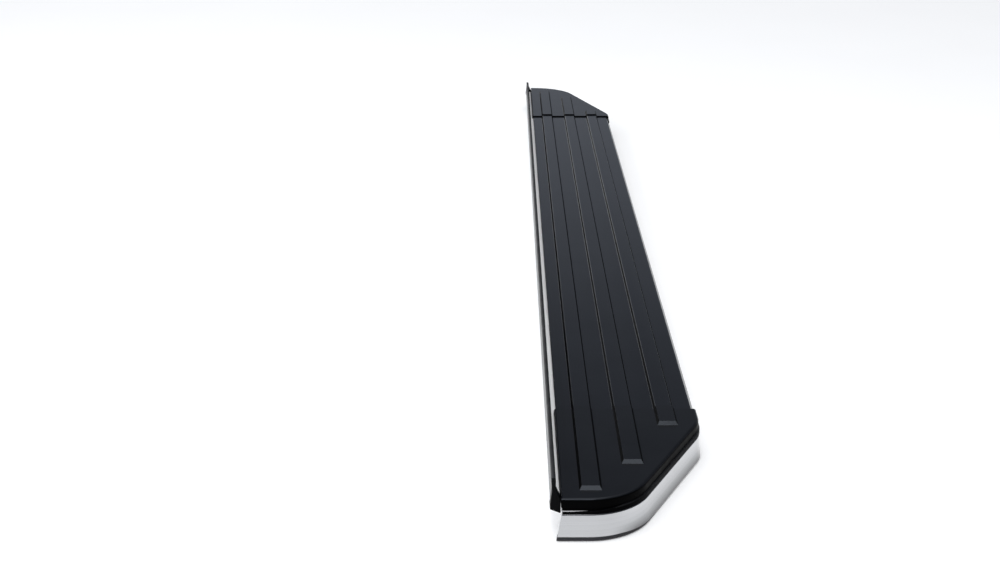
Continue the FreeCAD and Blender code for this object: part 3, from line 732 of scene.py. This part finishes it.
def threaded_stud(tip_z, top_z, radius):
    """A stud with a helical thread, from its tip up to the neck."""
    rows = int((top_z - tip_z) / THREAD_PITCH * THREAD_ROWS_PER_PITCH)
    rings = []
    for k in range(rows + 1):
        height = tip_z + (top_z - tip_z) * k / rows
        fade = min(1.0, (height - tip_z) / LEAD_IN_RUN)
        ring = []
        for i in range(THREAD_SIDES):
            turn = i / THREAD_SIDES
            phase = (height / THREAD_PITCH - turn) % 1.0
            groove = abs(2.0 * phase - 1.0)
            r = radius - THREAD_DEPTH * min(1.0, max(0.0, THREAD_FLANK * groove - THREAD_CREST))
            r -= (1.0 - fade) * LEAD_IN_DEPTH
            angle = 2 * math.pi * turn
            ring.append((r * math.cos(angle), r * math.sin(angle), height))
        rings.append(ring)
    return joined_rings(rings)


def rounded_block(size, centre, radius):
    """Vertices and faces of an upright block with rounded vertical edges and eased rims."""
    half_x, half_y = size[0] / 2, size[1] / 2
    ease = 0.3 * MM
    rings = []
    for inset, height in ((ease, 0.0), (0.0, ease), (0.0, size[2] - ease), (ease, size[2])):
        corners = [(-half_x + inset, -half_y + inset), (half_x - inset, -half_y + inset),
                   (half_x - inset, half_y - inset), (-half_x + inset, half_y - inset)]
        outline = closed_ring(corners, [radius] * 4)
        rings.append([(centre[0] + p[0], centre[1] + p[1], centre[2] + height) for p in outline])
    return joined_rings(rings)


def slot_bolt(node):
    """A T-head bolt with a square neck and a threaded stud, on a body of its own."""
    low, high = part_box(node)
    middle = (low + high) / 2
    head_size = (high.x - low.x, high.y - low.y, high.z - HEAD_LOW_Z)
    head = rounded_block(head_size, (0.0, 0.0, HEAD_LOW_Z), HEAD_CORNER_R)
    neck_size = (2 * NECK_HALF, 2 * NECK_HALF, HEAD_LOW_Z + BOLT_OVERLAP - NECK_LOW_Z)
    neck = rounded_block(neck_size, (0.0, 0.0, NECK_LOW_Z), NECK_CORNER_R)
    stud = threaded_stud(low.z, NECK_LOW_Z + BOLT_OVERLAP, STUD_R)
    bolt = make_object(node + "_detail", *merged([head, neck, stud]))
    bolt.location = (middle.x, middle.y, 0.0)
    return stand_in(bolt, node, node, bolt_surface)


def grouped(node, name, surface, maker):
    """One piece that holds a detailed fastener for every solid of a CAD node."""
    obj = make_object(name, *merged([maker(low, high) for low, high in solids_of(node)]))
    return stand_in(obj, node, "board", surface)


for end in ("rear", "front"):
    grouped(end + "_cap_screws", end + "_cap_screw_set", screw_surface, pan_screw)
    grouped(end + "_carrier_screws", end + "_carrier_screw_set", screw_surface, pan_screw)
grouped("slot_rail_rivets", "channel_rivet_set", rivet_surface, blind_rivet)
grouped("trim_rivets", "trim_rivet_set", rivet_surface, blind_rivet)
grouped("clip_rivets", "clip_rivet_set", rivet_surface, blind_rivet)
grouped("plank_clips", "tread_clip_set", clip_surface, fir_tree_clip)
springs = softened("trim_clips", "spring_clip_set", SPRING_ROUND, 2)
stand_in(springs, "trim_clips", "board", spring_surface)

for station in ("rear", "middle", "front"):
    for side in ("outer", "inner"):
        slot_bolt(station + "_" + side + "_bolt")


# ---------------------------------------------------------------- floor, light and camera

FLOOR_GAP = 0.2 * MM
FLOOR_HALF = 30.0
FLOOR_GLOW = 0.16
FLOOR_CORNERS = ((-1, -1), (1, -1), (1, 1), (-1, 1))
CAMERA_PLACE = (-2.04873, 0.12070, 0.67379)
CAMERA_PITCH = 0.348950
CAMERA_YAW = 0.0056762
CAMERA_ROLL = -0.0020828
CAMERA_LENS = 50.0
CAMERA_SENSOR = 36.0
CAMERA_FAR = 100.0
DOME_STRENGTH = 1.30
COOL = (0.80, 0.87, 1.0)
DOME_STOPS = ((0.0, 0.35, COOL), (0.22, 0.355, COOL), (0.31, 0.335, COOL), (0.38, 0.24, COOL),
              (0.46, 0.19, COOL), (0.50, 0.185, COOL), (0.68, 0.38, COOL), (0.90, 1.20, NEUTRAL))
SIDE_STOPS = ((0.0, 0.45, NEUTRAL), (0.42, 0.85, NEUTRAL), (0.55, 1.0, NEUTRAL), (1.0, 1.0, NEUTRAL))

# Area lights: name, place, target, size, power in watts
LIGHTS = (("left_key", (-0.3, 1.9, 1.5), (0.0, 0.0, 0.0), (2.4, 0.9), 16.0),
          ("overhead", (-0.9, -0.1, 2.3), (-0.3, 0.0, 0.0), (1.2, 2.4), 12.0),
          ("left_glints", (5.6, 1.8, 1.0), (0.0, 0.0, 0.04), (2.2, 1.6), 20.0),
          ("rib_end_light", (-2.35, -0.05, 1.95), (-0.88, 0.0, 0.03), (0.7, 0.8), 9.0))


def stage_floor():
    """A plain pale floor that glows a little, so that it stays white beside the board."""
    floor_mesh = bpy.data.meshes.new("studio_floor")
    corners = [(x * FLOOR_HALF, y * FLOOR_HALF, -FLOOR_GAP) for x, y in FLOOR_CORNERS]
    floor_mesh.from_pydata(corners, [], [(0, 1, 2, 3)])
    floor = bpy.data.objects.new("studio_floor", floor_mesh)
    bpy.context.scene.collection.objects.link(floor)
    made, nodes, links, shader = new_surface("studio_floor")
    tone = grain(nodes, links, 3.0)
    pale = ramp(nodes, links, tone, (0.960, 0.960, 0.960), (0.970, 0.970, 0.970))
    links.new(pale, shader.inputs["Base Color"])
    links.new(pale, shader.inputs["Emission Color"])
    shader.inputs["Emission Strength"].default_value = FLOOR_GLOW
    shader.inputs["Roughness"].default_value = 0.9
    shader.inputs["Specular IOR Level"].default_value = 0.1
    floor_mesh.materials.append(made)


def studio_world():
    """A soft dome: bright overhead, dim and cool low down, dimmer on the board's outer side."""
    world = bpy.data.worlds.new("studio")
    world.use_nodes = True
    bpy.context.scene.world = world
    nodes, links = world.node_tree.nodes, world.node_tree.links
    place = nodes.new("ShaderNodeTexCoord")
    split = nodes.new("ShaderNodeSeparateXYZ")
    links.new(place.outputs["Generated"], split.inputs["Vector"])
    dome = graded(nodes, links, split.outputs["Z"], DOME_STOPS)
    aside = nodes.new("ShaderNodeMath")
    aside.operation = "MULTIPLY_ADD"
    aside.inputs[1].default_value = 0.5
    aside.inputs[2].default_value = 0.5
    links.new(split.outputs["Y"], aside.inputs[0])
    side = graded(nodes, links, aside.outputs["Value"], SIDE_STOPS)
    mix = nodes.new("ShaderNodeVectorMath")
    mix.operation = "MULTIPLY"
    links.new(dome, mix.inputs[0])
    links.new(side, mix.inputs[1])
    links.new(mix.outputs["Vector"], nodes["Background"].inputs["Color"])
    nodes["Background"].inputs["Strength"].default_value = DOME_STRENGTH


def area_light(name, place, target, size, power):
    """A soft rectangular light aimed at a point."""
    data = bpy.data.lights.new(name, "AREA")
    data.shape = "RECTANGLE"
    data.size, data.size_y = size
    data.energy = power
    light = bpy.data.objects.new(name, data)
    light.location = place
    light.rotation_euler = (Vector(target) - Vector(place)).to_track_quat("-Z", "Y").to_euler()
    bpy.context.scene.collection.objects.link(light)


def studio_camera():
    """The camera, placed and turned as worked out for the lens given above."""
    p, y, r = CAMERA_PITCH, CAMERA_YAW, CAMERA_ROLL
    forward = Vector((math.cos(p) * math.cos(y), math.cos(p) * math.sin(y), -math.sin(p)))
    right = forward.cross(Vector((0.0, 0.0, 1.0))).normalized()
    up = right.cross(forward)
    turned_right = math.cos(r) * right + math.sin(r) * up
    turned_up = -math.sin(r) * right + math.cos(r) * up
    data = bpy.data.cameras.new("studio_camera")
    data.lens = CAMERA_LENS
    data.sensor_width = CAMERA_SENSOR
    data.clip_end = CAMERA_FAR
    camera = bpy.data.objects.new("studio_camera", data)
    camera.matrix_world = Matrix.Translation(CAMERA_PLACE) @ Matrix(
        (turned_right, turned_up, -forward)).transposed().to_4x4()
    bpy.context.scene.collection.objects.link(camera)
    bpy.context.scene.camera = camera


stage_floor()
studio_world()
for light in LIGHTS:
    area_light(*light)
studio_camera()
bpy.context.scene.view_settings.view_transform = "Standard"
